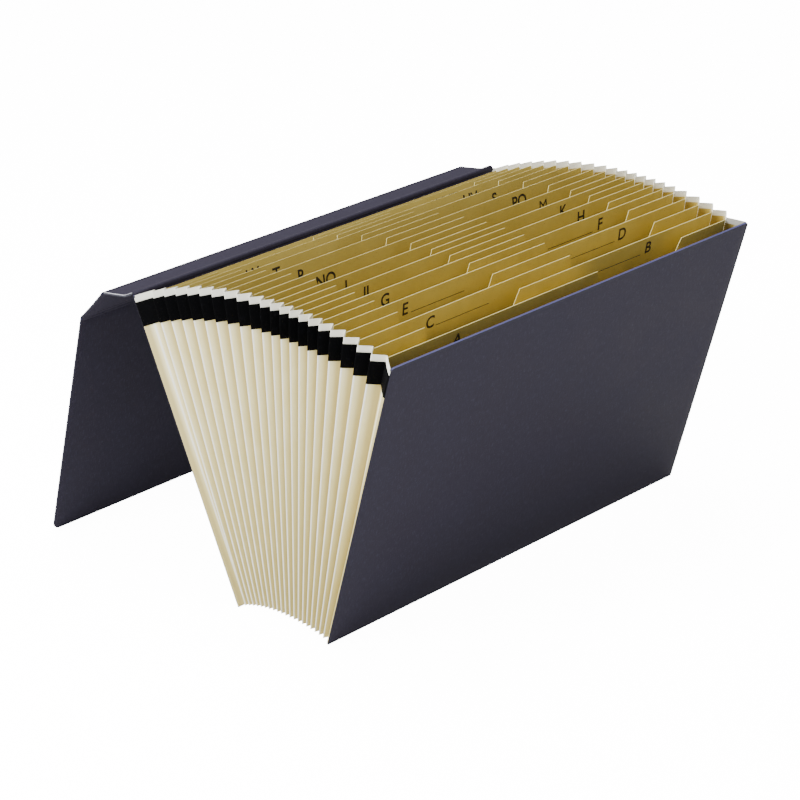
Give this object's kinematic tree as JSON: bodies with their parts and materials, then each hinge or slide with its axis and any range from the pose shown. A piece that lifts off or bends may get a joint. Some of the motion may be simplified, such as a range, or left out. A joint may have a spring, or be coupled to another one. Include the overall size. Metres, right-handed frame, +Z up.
{
  "type": "expanding index file",
  "caption": "Expanding file with stiff dark covers, a fan of kraft pockets with notched index leaves, cream pleated gussets and a folding flap, standing open",
  "frame": {"origin": "On the table, under the centre of the box around the whole file standing open with its flap folded back.", "axes": "+Z up. +X from the back cover towards the front cover, across the pockets. +Y along the length of the file; the end with the A on the first leaf is -Y."},
  "size_m": [0.3746, 0.3812, 0.244],
  "materials": {
    "cover_paper": "dark blue-black embossed paper glued over stiff board, slightly shiny",
    "kraft": "yellow-brown kraft paper, matt, with fine fibres",
    "gusset_paper": "cream paper, matt, creased into pleats",
    "cloth_tape": "black woven binding tape, faintly shiny"
  },
  "bodies": {
    "front_cover": {"front_cover": "cover_paper", "front_lining": "kraft"},
    "leaf_a": {"index_leaf_a": "kraft", "gusset_01": "gusset_paper"},
    "leaf_b": {"index_leaf_b": "kraft", "gusset_02": "gusset_paper"},
    "leaf_c": {"index_leaf_c": "kraft", "gusset_03": "gusset_paper"},
    "leaf_d": {"index_leaf_d": "kraft", "gusset_04": "gusset_paper"},
    "leaf_e": {"index_leaf_e": "kraft", "gusset_05": "gusset_paper"},
    "leaf_f": {"index_leaf_f": "kraft", "gusset_06": "gusset_paper"},
    "leaf_g": {"index_leaf_g": "kraft", "gusset_07": "gusset_paper"},
    "leaf_h": {"index_leaf_h": "kraft", "gusset_08": "gusset_paper"},
    "leaf_ij": {"index_leaf_ij": "kraft", "gusset_09": "gusset_paper"},
    "leaf_k": {"index_leaf_k": "kraft", "gusset_10": "gusset_paper"},
    "leaf_l": {"index_leaf_l": "kraft", "gusset_11": "gusset_paper", "gusset_12": "gusset_paper", "near_tape": "cloth_tape", "far_tape": "cloth_tape"},
    "leaf_m": {"index_leaf_m": "kraft", "gusset_13": "gusset_paper"},
    "leaf_no": {"index_leaf_no": "kraft", "gusset_14": "gusset_paper"},
    "leaf_pq": {"index_leaf_pq": "kraft", "gusset_15": "gusset_paper"},
    "leaf_r": {"index_leaf_r": "kraft", "gusset_16": "gusset_paper"},
    "leaf_s": {"index_leaf_s": "kraft", "gusset_17": "gusset_paper"},
    "leaf_t": {"index_leaf_t": "kraft", "gusset_18": "gusset_paper"},
    "leaf_uv": {"index_leaf_uv": "kraft", "gusset_19": "gusset_paper"},
    "leaf_w": {"index_leaf_w": "kraft", "gusset_20": "gusset_paper"},
    "leaf_xyz": {"index_leaf_xyz": "kraft", "gusset_21": "gusset_paper"},
    "leaf_plain": {"index_leaf_plain": "kraft", "gusset_22": "gusset_paper"},
    "back_cover": {"back_cover": "cover_paper", "back_lining": "kraft"},
    "flap_upper_strip": {"flap_upper_strip": "cover_paper"},
    "flap_lower_strip": {"flap_lower_strip": "cover_paper"},
    "flap_panel": {"flap_panel": "cover_paper"}
  },
  "joints": [
    {"name": "pocket_11", "type": "hinge", "parent": "leaf_l", "child": "leaf_k", "pos_m": [0.06358, 0, -0.12061], "axis": [0, 1, 0], "range_deg": [-1.27, 0.64], "deforming": ["gusset_11", "near_tape", "far_tape"]},
    {"name": "pocket_10", "type": "hinge", "parent": "leaf_k", "child": "leaf_ij", "pos_m": [0.06453, 0, -0.12684], "axis": [0, 1, 0], "range_deg": [-1.23, 0.63], "deforming": ["gusset_10"]},
    {"name": "pocket_09", "type": "hinge", "parent": "leaf_ij", "child": "leaf_h", "pos_m": [0.06584, 0, -0.12729], "axis": [0, 1, 0], "range_deg": [-1.23, 0.62], "deforming": ["gusset_09"]},
    {"name": "pocket_08", "type": "hinge", "parent": "leaf_h", "child": "leaf_g", "pos_m": [0.06722, 0, -0.12687], "axis": [0, 1, 0], "range_deg": [-1.23, 0.63], "deforming": ["gusset_08"]},
    {"name": "pocket_07", "type": "hinge", "parent": "leaf_g", "child": "leaf_f", "pos_m": [0.06935, 0, -0.12071], "axis": [0, 1, 0], "range_deg": [-1.29, 0.66], "deforming": ["gusset_07"]},
    {"name": "pocket_06", "type": "hinge", "parent": "leaf_f", "child": "leaf_e", "pos_m": [0.07344, 0, -0.10235], "axis": [0, 1, 0], "range_deg": [-1.51, 0.77], "deforming": ["gusset_06"]},
    {"name": "pocket_05", "type": "hinge", "parent": "leaf_e", "child": "leaf_d", "pos_m": [0.07843, 0, -0.08176], "axis": [0, 1, 0], "range_deg": [-1.87, 0.94], "deforming": ["gusset_05"]},
    {"name": "pocket_04", "type": "hinge", "parent": "leaf_d", "child": "leaf_c", "pos_m": [0.08191, 0, -0.07162], "axis": [0, 1, 0], "range_deg": [-2.12, 1.07], "deforming": ["gusset_04"]},
    {"name": "pocket_03", "type": "hinge", "parent": "leaf_c", "child": "leaf_b", "pos_m": [0.08375, 0, -0.06973], "axis": [0, 1, 0], "range_deg": [-2.18, 1.1], "deforming": ["gusset_03"]},
    {"name": "pocket_02", "type": "hinge", "parent": "leaf_b", "child": "leaf_a", "pos_m": [0.08508, 0, -0.06988], "axis": [0, 1, 0], "range_deg": [-2.18, 1.1], "deforming": ["gusset_02"]},
    {"name": "pocket_01", "type": "hinge", "parent": "leaf_a", "child": "front_cover", "pos_m": [0.09832, 0, -0.03086], "axis": [0, 1, 0], "range_deg": [-2.18, 1.1], "deforming": ["gusset_01"]},
    {"name": "pocket_12", "type": "hinge", "parent": "leaf_l", "child": "leaf_m", "pos_m": [0.06298, 0, -0.10199], "axis": [0, -1, 0], "range_deg": [-1.49, 0.74], "deforming": ["gusset_12"]},
    {"name": "pocket_13", "type": "hinge", "parent": "leaf_m", "child": "leaf_no", "pos_m": [0.06193, 0, -0.08099], "axis": [0, -1, 0], "range_deg": [-1.87, 0.94], "deforming": ["gusset_13"]},
    {"name": "pocket_14", "type": "hinge", "parent": "leaf_no", "child": "leaf_pq", "pos_m": [0.06039, 0, -0.07055], "axis": [0, -1, 0], "range_deg": [-2.12, 1.07], "deforming": ["gusset_14"]},
    {"name": "pocket_15", "type": "hinge", "parent": "leaf_pq", "child": "leaf_r", "pos_m": [0.05892, 0, -0.06856], "axis": [0, -1, 0], "range_deg": [-2.18, 1.1], "deforming": ["gusset_15"]},
    {"name": "pocket_16", "type": "hinge", "parent": "leaf_r", "child": "leaf_s", "pos_m": [0.05757, 0, -0.06868], "axis": [0, -1, 0], "range_deg": [-2.18, 1.1], "deforming": ["gusset_16"]},
    {"name": "pocket_17", "type": "hinge", "parent": "leaf_s", "child": "leaf_t", "pos_m": [0.05623, 0, -0.06896], "axis": [0, -1, 0], "range_deg": [-2.18, 1.1], "deforming": ["gusset_17"]},
    {"name": "pocket_18", "type": "hinge", "parent": "leaf_t", "child": "leaf_uv", "pos_m": [0.0549, 0, -0.0693], "axis": [0, -1, 0], "range_deg": [-2.18, 1.1], "deforming": ["gusset_18"]},
    {"name": "pocket_19", "type": "hinge", "parent": "leaf_uv", "child": "leaf_w", "pos_m": [0.05358, 0, -0.06968], "axis": [0, -1, 0], "range_deg": [-2.18, 1.1], "deforming": ["gusset_19"]},
    {"name": "pocket_20", "type": "hinge", "parent": "leaf_w", "child": "leaf_xyz", "pos_m": [0.05227, 0, -0.07012], "axis": [0, -1, 0], "range_deg": [-2.18, 1.1], "deforming": ["gusset_20"]},
    {"name": "pocket_21", "type": "hinge", "parent": "leaf_xyz", "child": "leaf_plain", "pos_m": [0.05097, 0, -0.0706], "axis": [0, -1, 0], "range_deg": [-2.18, 1.1], "deforming": ["gusset_21"]},
    {"name": "pocket_22", "type": "hinge", "parent": "leaf_plain", "child": "back_cover", "pos_m": [0.03595, 0, -0.03663], "axis": [0, -1, 0], "range_deg": [-2.18, 1.1], "deforming": ["gusset_22"]},
    {"name": "flap_fold_1", "type": "hinge", "parent": "back_cover", "child": "flap_upper_strip", "pos_m": [-0.06954, 0, 0.2194], "axis": [0, -1, 0], "range_deg": [-169.2, 25]},
    {"name": "flap_fold_2", "type": "hinge", "parent": "flap_upper_strip", "child": "flap_lower_strip", "pos_m": [-0.10378, 0, 0.21213], "axis": [0, -1, 0], "range_deg": [-121, 15]},
    {"name": "flap_fold_3", "type": "hinge", "parent": "flap_lower_strip", "child": "flap_panel", "pos_m": [-0.13084, 0, 0.18689], "axis": [0, -1, 0], "range_deg": [-30.42, 10]}
  ],
  "couplings": [
    {"joint": "pocket_10", "follows": "pocket_11", "ratio": 0.95333},
    {"joint": "pocket_09", "follows": "pocket_11", "ratio": 0.95011},
    {"joint": "pocket_08", "follows": "pocket_11", "ratio": 0.95333},
    {"joint": "pocket_07", "follows": "pocket_11", "ratio": 1},
    {"joint": "pocket_06", "follows": "pocket_11", "ratio": 1.1706},
    {"joint": "pocket_05", "follows": "pocket_11", "ratio": 1.4498},
    {"joint": "pocket_04", "follows": "pocket_11", "ratio": 1.6465},
    {"joint": "pocket_03", "follows": "pocket_11", "ratio": 1.6939},
    {"joint": "pocket_02", "follows": "pocket_11", "ratio": 1.6966},
    {"joint": "pocket_01", "follows": "pocket_11", "ratio": 1.6966},
    {"joint": "pocket_13", "follows": "pocket_12", "ratio": 1.2384},
    {"joint": "pocket_14", "follows": "pocket_12", "ratio": 1.4065},
    {"joint": "pocket_15", "follows": "pocket_12", "ratio": 1.447},
    {"joint": "pocket_16", "follows": "pocket_12", "ratio": 1.4493},
    {"joint": "pocket_17", "follows": "pocket_12", "ratio": 1.4493},
    {"joint": "pocket_18", "follows": "pocket_12", "ratio": 1.4493},
    {"joint": "pocket_19", "follows": "pocket_12", "ratio": 1.4493},
    {"joint": "pocket_20", "follows": "pocket_12", "ratio": 1.4493},
    {"joint": "pocket_21", "follows": "pocket_12", "ratio": 1.4493},
    {"joint": "pocket_22", "follows": "pocket_12", "ratio": 1.4493}
  ]
}
